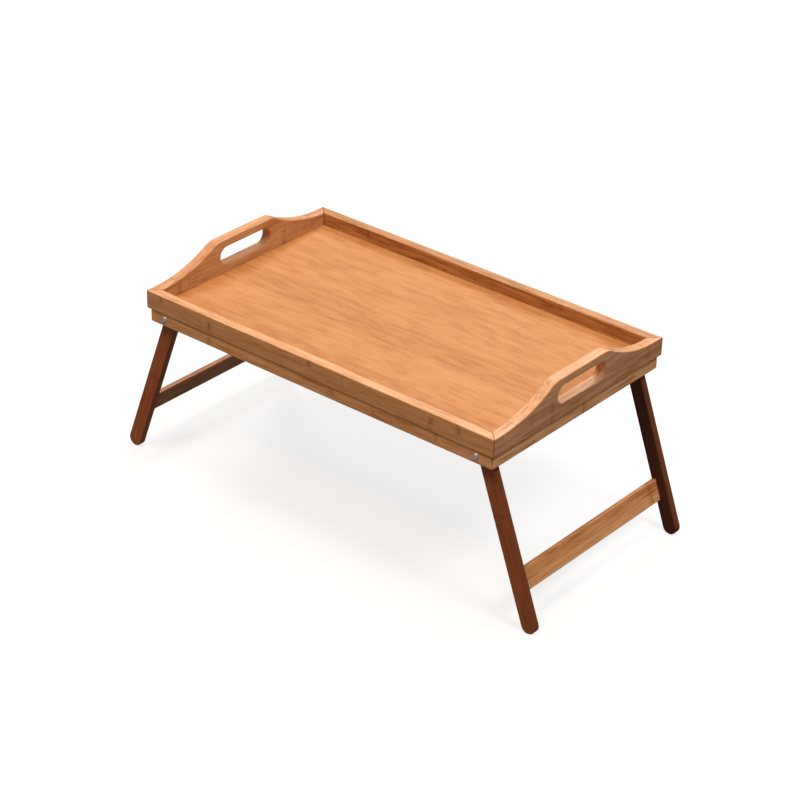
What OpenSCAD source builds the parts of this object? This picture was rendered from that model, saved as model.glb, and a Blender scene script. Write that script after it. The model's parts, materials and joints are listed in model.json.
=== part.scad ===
// Folding tray table: a shallow tray with a handle at each end stands on two leg
// frames, which fold flat into the recess under its floor panel. Millimetres.
// +X runs along the tray to the right, +Y across it to the back, and +Z is up.
// The origin is on the ground under the middle of the table, with the legs open.

/* [Tray] */
// Length of the tray over its ends
tray_l = 500; // [470:5:700]
// Width of the tray over its rails
tray_w = 300; // [240:5:400]
// Thickness of the rails and the handle ends
wall_t = 13; // [12:0.5:18]
// Height of the rails
wall_h = 22; // [20:0.5:34]
// Thickness of the floor panel
panel_t = 4; // [3:0.5:6]
// Depth of the groove that the floor panel sits in
groove_d = 3.5; // [2:0.5:4]
// Wood left under the groove
groove_lip = 2.5; // [2:0.5:3]
// Play of the floor panel at its edges and over its tongue
panel_play = 0.1; // [0.05:0.05:0.2]
// Depth of the rebate round the top of the floor panel, which leaves its tongue
panel_rebate = 0.5; // [0.3:0.1:1]
// Gap between the raised field of the floor panel and the walls
field_gap = 0.3; // [0.2:0.05:0.5]

/* [Handle ends] */
// Rise of a handle above the rails
handle_rise = 25.5; // [20:0.5:40]
// Length of the level top of a handle
handle_top_l = 80; // [60:2:90]
// Radius of the handle's round shoulders
shoulder_r = 28; // [12:1:30]
// Level rim between a handle's curve and the corner of the tray
rim_level_l = 10; // [10:1:30]
// Length of the hand slot
slot_l = 84; // [64:1:88]
// Height of the hand slot
slot_h = 22; // [16:1:24]
// Wood above the hand slot
slot_bar = 9.5; // [7:0.5:12]

/* [Under frame] */
// Thickness of the under frame's members
apron_t = 10; // [9:0.5:14]
// Setback of the under frame from the outside of the tray
apron_inset = 2.25; // [1:0.25:4]
// Radius of the under frame's outer corners
apron_corner_r = 2.5; // [1:0.25:4]

/* [Leg frames] */
// Width of a leg
leg_w = 18; // [16:0.5:24]
// Thickness of a leg
leg_t = 9; // [8:0.5:12]
// Distance from a leg's pivot to the middle of its round foot
leg_reach = 200; // [140:1:200]
// Outward lean of the open legs, in degrees
leg_lean = 20; // [5:1:30]
// Gap between a folded leg and the floor panel
fold_gap = 1.5; // [0.5:0.25:3]
// How far a folded leg stands below the under frame
leg_peek = 1; // [0:0.25:3]
// Gap between an open leg and the end apron that stops it
stop_gap = 0.2; // [0.1:0.05:0.5]
// Width of a stretcher
stretcher_w = 26; // [18:0.5:40]
// Thickness of a stretcher
stretcher_t = 6; // [5:0.5:9]
// Distance along the leg from the middle of its foot to the middle of the stretcher
stretcher_up = 46.5; // [30:0.5:120]

/* [Pivot hardware] */
// Diameter of a pivot bolt
bolt_d = 5; // [4:0.5:6]
// Running clearance of a leg on its bolt, on the radius
pivot_play = 0.06; // [0.02:0.01:0.1]
// Clearance of a hole that a bolt stands still in, on the radius
bolt_play = 0.1; // [0.05:0.05:0.3]
// Gap on each side of a leg
side_gap = 0.2; // [0.1:0.05:0.4]
// Diameter of a bolt's domed head
bolt_head_d = 9; // [8.5:0.25:11]
// Height of a bolt's domed head
bolt_head_h = 2.2; // [2:0.1:3]
// Width of the hexagon socket in a bolt's head, across its flats
socket_af = 3; // [2:0.5:4]
// Depth of the hexagon socket
socket_d = 1.2; // [0.8:0.1:1.8]
// Length of a bolt beyond its nut
bolt_past_nut = 2.6; // [1:0.2:5]
// Diameter of the plain spacer between the under frame and a leg
spacer_d = 14; // [11:0.5:16]
// Thickness of the spacer
spacer_t = 2; // [1:0.5:4]
// Diameter of the washer between a leg and its nut
washer_d = 12; // [11:0.5:16]
// Thickness of the washer
washer_t = 1; // [0.8:0.1:1.6]
// Width of a lock nut across its flats
nut_af = 8; // [8:0.5:10]
// Height of a lock nut's hexagon
nut_h = 3.6; // [3:0.1:5]
// Height of the round collar on a lock nut
collar_h = 1.4; // [1:0.1:2]
// Diameter of the round collar on a lock nut
collar_d = 7; // [6.8:0.1:8]

/* [Joinery] */
// Diameter of a dowel across a mitred corner
corner_dowel_d = 3; // [2:0.5:3]
// Length of a dowel across a mitred corner
corner_dowel_l = 8; // [6:0.5:9]
// Diameter of a dowel between a leg and its stretcher
stretcher_dowel_d = 3; // [2.5:0.5:4]
// Length of that dowel inside the leg
dowel_in_leg = 6; // [4:0.5:7]
// Length of that dowel inside the stretcher
dowel_in_stretcher = 12; // [8:1:20]
// Distance between the two dowels at one end of a stretcher
dowel_pitch = 13; // [8:0.5:14]
// Clearance of a dowel or a screw in its hole, on the radius
wood_play = 0.05; // [0.02:0.01:0.1]
// Glue space left at each end of a dowel
dowel_end_gap = 0.5; // [0.2:0.1:1]
// Diameter of a screw that holds the tray on the under frame
screw_d = 3; // [2.5:0.1:3.2]
// Length of that screw below its head
screw_l = 20; // [17:1:22]
// Length of the screw's point
screw_point_l = 4; // [3:0.5:5]
// Diameter of the screw's head
screw_head_d = 5.6; // [5:0.1:6]
// Height of the screw's head
screw_head_h = 2; // [1.6:0.1:2.4]
// Depth that the seat of the screw's head is sunk into the under frame
screw_sink = 5; // [3:0.5:6]
// Distance of the screws from the outside of the tray
screw_line = 6.5; // [6:0.25:7]
// Distance between the three screws under a rail
rail_screw_pitch = 190; // [120:5:220]
// Distance between the two screws under a handle end
end_screw_pitch = 150; // [100:5:200]

/* [Hidden] */
$fn = 96;
// Overrun that carries a cut clear of a face
over = 1;
// Sides of the table
left = -1;
right = 1;
front = -1;
back = 1;
// Pivots, from the ground up
pivot_z = leg_w / 2 + leg_reach * cos(leg_lean);
panel_z = pivot_z + leg_w / 2 + fold_gap;
floor_z = panel_z + panel_t;
panel_tongue = panel_t - panel_rebate;
wall_z = panel_z - groove_lip;
rim_z = wall_z + wall_h;
apron_z = pivot_z - leg_w / 2 + leg_peek;
apron_h = wall_z - apron_z;
apron_l = tray_l - 2 * apron_inset;
apron_w = tray_w - 2 * apron_inset;
// An open leg leans on the lower inner edge of the end apron
stop_x = apron_l / 2 - apron_t;
pivot_x = stop_x - (leg_w / 2 + stop_gap + (pivot_z - apron_z) * sin(leg_lean)) / cos(leg_lean);
leg_y = apron_w / 2 - apron_t - spacer_t - side_gap;
stretcher_l = 2 * (leg_y - leg_t);
stretcher_z = stretcher_up - leg_reach;
// Both leg frames stand the same way round: each stretcher is flush with the left
// edges of its legs, which are the inner edges at the right end of the table
function stretcher_x(end) = -end * (leg_w - stretcher_t) / 2;
washer_depth = apron_t + spacer_t + side_gap + leg_t + side_gap;
nut_depth = washer_depth + washer_t;
bolt_l = nut_depth + nut_h + collar_h + bolt_past_nut;
// The curve of a handle is a round shoulder and a hollow that meet in one slope
curve_foot = tray_w / 2 - rim_level_l;
curve_run = curve_foot - handle_top_l / 2;
curve_slope = 2 * atan(handle_rise / curve_run);
hollow_r = curve_run / sin(curve_slope) - shoulder_r;
handle_h = wall_h + handle_rise;
turn_y = handle_top_l / 2 + shoulder_r * sin(curve_slope);
turn_z = handle_h - shoulder_r * (1 - cos(curve_slope));
screw_seat_z = apron_z + screw_sink;
bamboo = [0.86, 0.60, 0.36];
bamboo_floor = [0.88, 0.62, 0.40];
bamboo_under = [0.74, 0.52, 0.30];
bamboo_dark = [0.50, 0.28, 0.15];
bamboo_pale = [0.78, 0.58, 0.36];
beech = [0.85, 0.73, 0.55];
steel = [0.78, 0.78, 0.80];
nylon = [0.88, 0.87, 0.83];

// Footprint of a mitred member along X, on the front or the back of an l by w frame
module long_footprint(side, l, w, t) {
  polygon([
    [-l / 2, side * w / 2], [l / 2, side * w / 2],
    [l / 2 - t, side * (w / 2 - t)], [-l / 2 + t, side * (w / 2 - t)]
  ]);
}

// Footprint of a mitred member along Y, on the left or the right of an l by w frame
module end_footprint(side, l, w, t) {
  polygon([
    [side * l / 2, -w / 2], [side * l / 2, w / 2],
    [side * (l / 2 - t), w / 2 - t], [side * (l / 2 - t), -w / 2 + t]
  ]);
}

module rounded_rectangle(l, w, r) {
  square([l - 2 * r, w], center = true);
  square([l, w - 2 * r], center = true);
  for (x = [-1, 1], y = [-1, 1])
    translate([x * (l / 2 - r), y * (w / 2 - r)]) circle(r = r);
}

// Four dowels across the mitres of an l by w frame with members t thick
module corner_dowels(l, w, t, z, play = 0, end_gap = 0) {
  for (x = [left, right], y = [front, back])
    translate([x * (l - t) / 2, y * (w - t) / 2, z])
      rotate([0, 90, -45 * x * y])
        cylinder(d = corner_dowel_d + 2 * play, h = corner_dowel_l + 2 * end_gap, center = true);
}

module tray_dowels(play = 0, end_gap = 0) {
  corner_dowels(tray_l, tray_w, wall_t, (floor_z + rim_z) / 2, play, end_gap);
}

module apron_dowels(play = 0, end_gap = 0) {
  corner_dowels(apron_l, apron_w, apron_t, apron_z + apron_h / 2, play, end_gap);
}

// The places of the screws that pull the tray down on the under frame
module at_screws() {
  for (x = [-1, 0, 1], y = [front, back])
    translate([x * rail_screw_pitch, y * (tray_w / 2 - screw_line), screw_seat_z]) children();
  for (x = [left, right], y = [-0.5, 0.5])
    translate([x * (tray_l / 2 - screw_line), y * end_screw_pitch, screw_seat_z]) children();
}

module screw_shank(play = 0) {
  straight_l = screw_l - screw_point_l;
  cylinder(d = screw_d + 2 * play, h = straight_l);
  translate([0, 0, straight_l]) cylinder(d1 = screw_d + 2 * play, d2 = 0.6, h = screw_point_l);
}

module screw() {
  screw_shank();
  translate([0, 0, -screw_head_h]) cylinder(d1 = screw_head_d * 0.7, d2 = screw_head_d, h = screw_head_h);
}

// Room for a screw: a sunk seat for its head and a hole for its shank
module screw_room() {
  screw_shank(wood_play);
  translate([0, 0, -screw_sink - over]) cylinder(d = screw_head_d + 0.4, h = screw_sink + over);
}

// A plate on the level of the floor panel, whose edge lies this far inside the tray's outside
module plate(inset, h) {
  l = tray_l - 2 * inset;
  w = tray_w - 2 * inset;
  translate([-l / 2, -w / 2, panel_z]) cube([l, w, h]);
}

// The space that the floor panel's tongue takes in the four walls
module panel_groove() {
  plate(wall_t - groove_d, panel_tongue + panel_play);
}

module wall_cuts() {
  panel_groove();
  tray_dowels(wood_play, dowel_end_gap);
  at_screws() screw_shank(wood_play);
}

module rail(side) {
  difference() {
    translate([0, 0, wall_z])
      linear_extrude(wall_h) long_footprint(side, tray_l, tray_w, wall_t);
    wall_cuts();
  }
}

module slot_outline() {
  bow_r = slot_h / 2;
  bow_x = slot_l / 2 - bow_r;
  translate([0, handle_h - slot_bar - bow_r]) {
    square([2 * bow_x, slot_h], center = true);
    for (x = [-1, 1]) translate([x * bow_x, 0]) circle(r = bow_r);
  }
}

// Upright outline of a handle end, from the bottom of the rails
module handle_outline() {
  difference() {
    union() {
      polygon([
        [-tray_w / 2, 0], [tray_w / 2, 0], [tray_w / 2, wall_h], [curve_foot, wall_h],
        [turn_y, turn_z], [handle_top_l / 2, handle_h], [-handle_top_l / 2, handle_h],
        [-turn_y, turn_z], [-curve_foot, wall_h], [-tray_w / 2, wall_h]
      ]);
      for (y = [-1, 1])
        translate([y * handle_top_l / 2, handle_h - shoulder_r]) circle(r = shoulder_r);
    }
    for (y = [-1, 1])
      translate([y * curve_foot, wall_h + hollow_r]) circle(r = hollow_r, $fn = 360);
    slot_outline();
  }
}

module handle_end(side) {
  difference() {
    intersection() {
      translate([side * (tray_l - wall_t) / 2 - wall_t / 2, 0, wall_z])
        rotate([90, 0, 90]) linear_extrude(wall_t) handle_outline();
      translate([0, 0, wall_z])
        linear_extrude(handle_h) end_footprint(side, tray_l, tray_w, wall_t);
    }
    wall_cuts();
  }
}

// Holes through the long aprons for the pivot bolts
module bolt_holes() {
  for (x = [left, right])
    translate([x * pivot_x, 0, pivot_z])
      rotate([90, 0, 0]) cylinder(d = bolt_d + 2 * bolt_play, h = tray_w + 2 * over, center = true);
}

module apron_cuts() {
  apron_dowels(wood_play, dowel_end_gap);
  at_screws() screw_room();
}

module long_apron(side) {
  difference() {
    translate([0, 0, apron_z]) linear_extrude(apron_h) intersection() {
      long_footprint(side, apron_l, apron_w, apron_t);
      rounded_rectangle(apron_l, apron_w, apron_corner_r);
    }
    apron_cuts();
    bolt_holes();
  }
}

module end_apron(side) {
  difference() {
    translate([0, 0, apron_z]) linear_extrude(apron_h) intersection() {
      end_footprint(side, apron_l, apron_w, apron_t);
      rounded_rectangle(apron_l, apron_w, apron_corner_r);
    }
    apron_cuts();
  }
}

// Stands a leg frame, drawn hanging straight down from its pivot, at one end
module at_leg_frame(end) {
  mirror([end == left ? 1 : 0, 0, 0])
    translate([pivot_x, 0, pivot_z]) rotate([0, -leg_lean, 0]) children();
}

// Dowels into the stretcher's ends, in the frame of the hanging leg
module hanging_dowels(end, play = 0, end_gap = 0) {
  l = dowel_in_leg + dowel_in_stretcher;
  for (y = [front, back], z = [-0.5, 0.5])
    translate([
      stretcher_x(end),
      y * (stretcher_l / 2 + (dowel_in_leg - dowel_in_stretcher) / 2),
      stretcher_z + z * dowel_pitch
    ])
      rotate([90, 0, 0])
        cylinder(d = stretcher_dowel_d + 2 * play, h = l + 2 * end_gap, center = true);
}

module leg(end, side) {
  at_leg_frame(end) difference() {
    translate([0, side * (leg_y - leg_t / 2) + leg_t / 2, 0])
      rotate([90, 0, 0]) linear_extrude(leg_t) {
        translate([-leg_w / 2, -leg_reach]) square([leg_w, leg_reach]);
        circle(d = leg_w);
        translate([0, -leg_reach]) circle(d = leg_w);
      }
    rotate([90, 0, 0]) cylinder(d = bolt_d + 2 * pivot_play, h = tray_w, center = true);
    hanging_dowels(end, wood_play, dowel_end_gap);
  }
}

module stretcher(end) {
  at_leg_frame(end) difference() {
    translate([stretcher_x(end), 0, stretcher_z])
      cube([stretcher_t, stretcher_l, stretcher_w], center = true);
    hanging_dowels(end, wood_play, dowel_end_gap);
  }
}

// Lays pivot hardware, drawn with its axis up, outward through the under frame
module at_pivot(end, side) {
  translate([end * pivot_x, side * apron_w / 2, pivot_z]) rotate([-90 * side, 0, 0]) children();
}

// A ring on the bolt whose outer face is depth inside the under frame
module ring(depth, d, h, hole_d) {
  translate([0, 0, -depth - h]) difference() {
    cylinder(d = d, h = h);
    translate([0, 0, -over]) cylinder(d = hole_d, h = h + 2 * over);
  }
}

// A domed bolt head is the cap of the sphere that passes through its rim
module bolt(end, side) {
  dome_r = (pow(bolt_head_d / 2, 2) + pow(bolt_head_h, 2)) / (2 * bolt_head_h);
  at_pivot(end, side) {
    difference() {
      intersection() {
        translate([0, 0, bolt_head_h - dome_r]) sphere(r = dome_r);
        cylinder(d = bolt_head_d + over, h = bolt_head_h + over);
      }
      translate([0, 0, bolt_head_h - socket_d])
        cylinder(d = socket_af / cos(30), h = socket_d + over, $fn = 6);
    }
    translate([0, 0, -bolt_l]) cylinder(d = bolt_d, h = bolt_l);
  }
}

module spacer(end, side) {
  at_pivot(end, side) ring(apron_t, spacer_d, spacer_t, bolt_d + 2 * bolt_play);
}

module washer(end, side) {
  at_pivot(end, side) ring(washer_depth, washer_d, washer_t, bolt_d + 2 * bolt_play);
}

// The nut's hexagon stands against the washer and its collar grips the thread
module lock_nut(end, side) {
  at_pivot(end, side) {
    translate([0, 0, -nut_depth - nut_h]) difference() {
      cylinder(d = nut_af / cos(30), h = nut_h, $fn = 6);
      translate([0, 0, -over]) cylinder(d = bolt_d, h = nut_h + 2 * over);
    }
    ring(nut_depth + nut_h, collar_d, collar_h, bolt_d);
  }
}

module tray_panel() {
  color(bamboo_floor) {
    plate(wall_t - groove_d + panel_play, panel_tongue);
    plate(wall_t + field_gap, panel_t);
  }
}
module front_rail() { color(bamboo) rail(front); }
module back_rail() { color(bamboo) rail(back); }
module left_handle_end() { color(bamboo) handle_end(left); }
module right_handle_end() { color(bamboo) handle_end(right); }
module tray_corner_dowels() { color(beech) tray_dowels(); }
module front_apron() { color(bamboo_under) long_apron(front); }
module back_apron() { color(bamboo_under) long_apron(back); }
module left_apron() { color(bamboo_under) end_apron(left); }
module right_apron() { color(bamboo_under) end_apron(right); }
module apron_corner_dowels() { color(beech) apron_dowels(); }
module apron_screws() { color(steel) at_screws() screw(); }
module front_left_leg() { color(bamboo_dark) leg(left, front); }
module back_left_leg() { color(bamboo_dark) leg(left, back); }
module left_stretcher() { color(bamboo_pale) stretcher(left); }
module left_stretcher_dowels() { color(beech) at_leg_frame(left) hanging_dowels(left); }
module front_right_leg() { color(bamboo_dark) leg(right, front); }
module back_right_leg() { color(bamboo_dark) leg(right, back); }
module right_stretcher() { color(bamboo_pale) stretcher(right); }
module right_stretcher_dowels() { color(beech) at_leg_frame(right) hanging_dowels(right); }
module front_left_bolt() { color(steel) bolt(left, front); }
module back_left_bolt() { color(steel) bolt(left, back); }
module front_right_bolt() { color(steel) bolt(right, front); }
module back_right_bolt() { color(steel) bolt(right, back); }
module front_left_spacer() { color(nylon) spacer(left, front); }
module back_left_spacer() { color(nylon) spacer(left, back); }
module front_right_spacer() { color(nylon) spacer(right, front); }
module back_right_spacer() { color(nylon) spacer(right, back); }
module front_left_washer() { color(steel) washer(left, front); }
module back_left_washer() { color(steel) washer(left, back); }
module front_right_washer() { color(steel) washer(right, front); }
module back_right_washer() { color(steel) washer(right, back); }
module front_left_lock_nut() { color(steel) lock_nut(left, front); }
module back_left_lock_nut() { color(steel) lock_nut(left, back); }
module front_right_lock_nut() { color(steel) lock_nut(right, front); }
module back_right_lock_nut() { color(steel) lock_nut(right, back); }

tray_panel();
front_rail();
back_rail();
left_handle_end();
right_handle_end();
tray_corner_dowels();
front_apron();
back_apron();
left_apron();
right_apron();
apron_corner_dowels();
apron_screws();
front_left_leg();
back_left_leg();
left_stretcher();
left_stretcher_dowels();
front_right_leg();
back_right_leg();
right_stretcher();
right_stretcher_dowels();
front_left_bolt();
back_left_bolt();
front_right_bolt();
back_right_bolt();
front_left_spacer();
back_left_spacer();
front_right_spacer();
back_right_spacer();
front_left_washer();
back_left_washer();
front_right_washer();
back_right_washer();
front_left_lock_nut();
back_left_lock_nut();
front_right_lock_nut();
back_right_lock_nut();
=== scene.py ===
"""Folding tray table: the bamboo, steel and nylon pieces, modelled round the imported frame.

Lengths are in metres in the frame's own axes: +X along the tray to the right, +Y to the back, +Z up.
Each piece is modelled where its CAD node lies, takes its size from that node and rides on its body.
"""

import json
from math import atan, atan2, cos, degrees, pi, radians, sin, sqrt, tan

import bmesh
import bpy
from bpy.props import FloatProperty, FloatVectorProperty, PointerProperty
from mathutils import Matrix, Vector


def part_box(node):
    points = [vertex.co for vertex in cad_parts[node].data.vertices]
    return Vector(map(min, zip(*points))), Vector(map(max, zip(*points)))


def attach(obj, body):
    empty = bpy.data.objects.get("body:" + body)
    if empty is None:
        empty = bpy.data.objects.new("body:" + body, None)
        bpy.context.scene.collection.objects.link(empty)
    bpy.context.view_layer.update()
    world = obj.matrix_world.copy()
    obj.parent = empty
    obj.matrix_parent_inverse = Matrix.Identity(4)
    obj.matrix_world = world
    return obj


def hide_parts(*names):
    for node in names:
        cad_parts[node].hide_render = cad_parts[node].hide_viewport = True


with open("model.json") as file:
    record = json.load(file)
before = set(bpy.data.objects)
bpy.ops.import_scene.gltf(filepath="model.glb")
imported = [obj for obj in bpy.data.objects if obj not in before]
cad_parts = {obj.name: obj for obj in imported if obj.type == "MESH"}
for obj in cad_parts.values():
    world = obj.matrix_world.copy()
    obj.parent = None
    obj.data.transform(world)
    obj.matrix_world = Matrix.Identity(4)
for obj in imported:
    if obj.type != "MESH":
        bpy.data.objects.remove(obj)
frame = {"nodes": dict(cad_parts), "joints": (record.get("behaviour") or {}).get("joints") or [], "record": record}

bl_info = {
    "name": "Folding Tray Table",
    "version": (1, 0, 0),
    "blender": (4, 5, 0),
    "location": "View3D > Sidebar > Tray Table",
    "description": "Builds a bamboo folding tray table piece by piece",
    "category": "Add Mesh",
}

BODY_OF = {
    node: body
    for body, nodes in frame["record"]["behaviour"]["bodies"].items()
    for node in nodes
}

MM = 0.001
X, Y, Z = Vector((1, 0, 0)), Vector((0, 1, 0)), Vector((0, 0, 1))
LEFT, RIGHT, FRONT, BACK = -1, 1, -1, 1
ENDS = {"left": LEFT, "right": RIGHT}
SIDES = {"front": FRONT, "back": BACK}
# A narrow strip beside every round keeps the shading of the flat faces flat
SUPPORT = 0.2 * MM
# Wood left over at a blank's ends, which the mitre cuts take off
SPARE = 6 * MM
# Vertices this close are one, and vertices this near a plane lie in it
WELD = 1e-7
NEAR = 1e-6
# Steps in a quarter round, and the angle from which an edge stays sharp
ROUND_STEPS = 4
SHARP_ANGLE = radians(31)


def power(name, description, default):
    """A light's power or strength."""
    return FloatProperty(name=name, description=description, default=default, min=0.0)


def length(name, description, default):
    """A length, with its default in millimetres."""
    return FloatProperty(
        name=name, description=description, default=default * MM, min=0.0, precision=5, unit="LENGTH"
    )


def colour(name, description, default):
    """A linear colour property."""
    return FloatVectorProperty(
        name=name, description=description, default=default, size=3, min=0.0, max=1.0, subtype="COLOR"
    )


class TrayTableSizes(bpy.types.PropertyGroup):
    """Shapes that the frame's boxes don't give."""

    handle_top: length("Handle top", "Length of the level top of a handle", 80)
    shoulder: length("Shoulder", "Radius of a handle's round shoulders", 28)
    rim_level: length("Level rim", "Level rim between a handle and the corner", 10)
    slot_length: length("Slot length", "Length of the hand slot", 84)
    slot_height: length("Slot height", "Height of the hand slot", 22)
    slot_bar: length("Slot bar", "Wood above the hand slot", 9.5)
    groove_depth: length("Groove depth", "Depth of the groove for the floor panel", 3.5)
    groove_play: length("Groove play", "Play over the tongue of the floor panel", 0.1)
    rebate: length("Rebate", "Step from the floor panel's field down to its tongue", 0.5)
    field_gap: length("Field gap", "Gap between the raised field and the walls", 0.3)
    tray_ease: length("Tray edges", "Radius of the eased edges of the tray", 1.0)
    apron_ease: length("Apron edges", "Radius of the eased edges of the under frame", 0.7)
    shadow_gap: length("Shadow gap", "Radius of the under frame's top edge", 1.6)
    apron_corner: length("Apron corner", "Radius of the under frame's outer corners", 2.5)
    leg_ease: length("Leg edges", "Radius of the eased edges of a leg", 1.2)
    stretcher_ease: length("Stretcher edges", "Radius of the eased edges of a stretcher", 1.0)
    joint_chamfer: length("Joint chamfer", "Fine chamfer round a glued joint", 0.3)
    shank: length("Bolt shank", "Diameter of a pivot bolt", 5)
    pivot_play: length("Pivot play", "Play round a bolt in the leg's bore, on the radius", 0.06)
    bolt_play: length("Bolt play", "Play round a bolt in the other bores, on the radius", 0.1)
    pitch: length("Thread pitch", "Pitch of the bolt's thread", 0.8)
    socket: length("Socket", "Width of the hexagon socket across its flats", 3)
    socket_depth: length("Socket depth", "Depth of the hexagon socket", 1.2)
    nut_flats: length("Nut flats", "Width of a lock nut across its flats", 8)
    nut_hexagon: length("Nut hexagon", "Height of a lock nut's hexagon", 3.6)
    nut_collar: length("Nut collar", "Diameter of a lock nut's round collar", 7)
    screw_shank: length("Screw shank", "Diameter of the under frame's screws", 3)
    screw_head: length("Screw head", "Diameter of those screws' heads", 5.6)
    screw_head_height: length("Screw head height", "Height of those screws' heads", 2)
    screw_point: length("Screw point", "Length of those screws' points", 4)
    screw_hole: length("Screw hole", "Diameter of the hole that a screw's head is sunk in", 6)
    rail_screws: length("Rail screws", "Distance between the screws under a rail", 190)
    end_screws: length("End screws", "Distance between the screws under a handle end", 150)


class TrayTableFinishes(bpy.types.PropertyGroup):
    """Colours of the woods, the metals and the nylon."""

    floor: colour("Floor panel", "Middle tone of the floor panel", (0.568, 0.258, 0.084))
    rail: colour("Rails", "Middle tone of the rails", (0.65, 0.332, 0.142))
    handle: colour("Handle ends", "Middle tone of the handle ends", (0.69, 0.37, 0.185))
    apron: colour("Under frame", "Middle tone of the under frame", (0.85, 0.46, 0.20))
    leg: colour("Legs", "Middle tone of the stained legs", (0.39, 0.128, 0.043))
    stretcher: colour("Stretchers", "Middle tone of the stretchers", (0.74, 0.36, 0.148))
    dowel: colour("Dowels", "Middle tone of the beech dowels", (0.60, 0.42, 0.22))
    chrome: colour("Bolts", "Bright plating of the bolts", (0.90, 0.93, 1.0))
    zinc: colour("Nuts and screws", "Zinc plating of nuts, washers and screws", (0.62, 0.62, 0.64))
    nylon: colour("Nylon", "Natural nylon of the spacers and nut inserts", (0.74, 0.72, 0.64))


class TrayTableStudio(bpy.types.PropertyGroup):
    """The camera, the lights and the floor that they stand on."""

    focal_length: FloatProperty(
        name="Focal length", description="Of the camera, in millimetres", default=111.7, min=1.0
    )
    key_power: power("Key light", "Power of the soft light behind the table", 188.0)
    top_power: power("Top light", "Power of the wide light overhead", 64.0)
    front_power: power("Front light", "Power of the soft light in front", 178.0)
    side_power: power("Side light", "Power of the soft light at the right", 205.0)
    room_light: power("Room light", "Strength of the light from all round", 0.16)
    paper: colour("Floor", "Pale floor under the table", (0.90, 0.90, 0.90))


# Outlines


def arc(centre, radius, start, end, steps):
    """Points on an arc, with its angles in degrees."""
    turns = [radians(start + (end - start) * k / steps) for k in range(steps + 1)]
    return [Vector((centre[0] + radius * cos(t), centre[1] + radius * sin(t))) for t in turns]


def eased(corners, radius):
    """Outline through (x, y) or (x, y, radius) corners, each rounded between two support points."""
    points = []
    for i, (x, y, *own) in enumerate(corners):
        r = own[0] if own else radius
        point = Vector((x, y))
        if r == 0:
            points.append(point)
            continue
        beside = (corners[i - 1], corners[(i + 1) % len(corners)])
        before, after = [(Vector(corner[:2]) - point).normalized() for corner in beside]
        half = before.angle(after) / 2
        run = r / tan(half)
        centre = point + (before + after).normalized() * (r / sin(half))
        start, end = [point + way * run - centre for way in (before, after)]
        turn = atan2(start.x * end.y - start.y * end.x, start.dot(end))
        turns = [Matrix.Rotation(turn * k / ROUND_STEPS, 2) for k in range(ROUND_STEPS + 1)]
        points.append(point + before * (run + SUPPORT))
        points += [centre + rotation @ start for rotation in turns]
        points.append(point + after * (run + SUPPORT))
    return points


def circle(radius, steps=32):
    """Points on a full circle round the origin."""
    return arc((0, 0), radius, 0, 360 * (steps - 1) / steps, steps - 1)


# Modelling


def settings(context):
    """The sizes and finishes that are set for the table."""
    return context.scene.traytable_sizes, context.scene.traytable_finishes


def faces_of(found):
    """The faces among what an operator found or made."""
    return [g for g in found if isinstance(g, bmesh.types.BMFace)]


def edges_of(found):
    """The edges among what an operator found or made."""
    return [g for g in found if isinstance(g, bmesh.types.BMEdge)]


def verts_of(found):
    """The vertices among what an operator found or made."""
    return [g for g in found if isinstance(g, bmesh.types.BMVert)]


def loop(bm, points):
    """A closed loop of edges through the points."""
    verts = [bm.verts.new(p) for p in points]
    return [bm.edges.new((a, b)) for a, b in zip(verts, verts[1:] + verts[:1])]


def fill(bm, edges):
    """Fills between closed loops that lie in one plane."""
    return faces_of(bmesh.ops.triangle_fill(bm, use_beauty=True, edges=edges)["geom"])


def extrude(bm, faces, travel):
    """Draws faces out into a solid and returns the moved faces."""
    geom = faces + list({e for f in faces for e in f.edges})
    made = bmesh.ops.extrude_face_region(bm, geom=geom)["geom"]
    bmesh.ops.translate(bm, verts=verts_of(made), vec=travel)
    bmesh.ops.recalc_face_normals(bm, faces=bm.faces)
    return faces_of(made)


def inset(bm, faces, thickness, depth):
    """Draws a region's rim inward by a thickness and the region out by a depth."""
    bmesh.ops.inset_region(
        bm, faces=faces, thickness=thickness, depth=depth, use_boundary=True, use_even_offset=True
    )


def ease_rim(bm, faces, radius):
    """Rounds the rim of a flat face outward from its wall, with a support strip on both sides."""
    inset(bm, faces, 0.0, SUPPORT)
    turns = [pi / 2 * k / ROUND_STEPS for k in range(ROUND_STEPS + 1)]
    for a, b in zip(turns, turns[1:]):
        inset(bm, faces, radius * (cos(a) - cos(b)), radius * (sin(b) - sin(a)))
    inset(bm, faces, SUPPORT, 0.0)
    refill(bm, faces, [])


def refill(bm, faces, loops):
    """Fills a flat region anew, with loops of edges left open in it."""
    inside = set(faces)
    rim = [e for e in {e for f in faces for e in f.edges} if sum(f in inside for f in e.link_faces) == 1]
    bmesh.ops.delete(bm, geom=faces, context="FACES")
    fill(bm, rim + [e for edges in loops for e in edges])


def lying_on(bm, normal, point):
    """The faces that lie in the plane through the point, square to the normal."""
    level = Vector(point).dot(normal)
    return [f for f in bm.faces if all(abs(v.co.dot(normal) - level) < NEAR for v in f.verts)]


def plate(bm, outlines, thickness, radius):
    """Plate on the XY plane with its thickness along +Z: an outer outline, any holes, and eased edges."""
    edges = [e for outline in outlines for e in loop(bm, [(p[0], p[1], 0) for p in outline])]
    start = radius + SUPPORT
    extrude(bm, fill(bm, edges), Z * (thickness - 2 * start))
    bmesh.ops.translate(bm, verts=bm.verts, vec=Z * start)
    for normal, height in ((Z, thickness - start), (-Z, start)):
        ease_rim(bm, lying_on(bm, normal, Z * height), radius)


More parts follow.
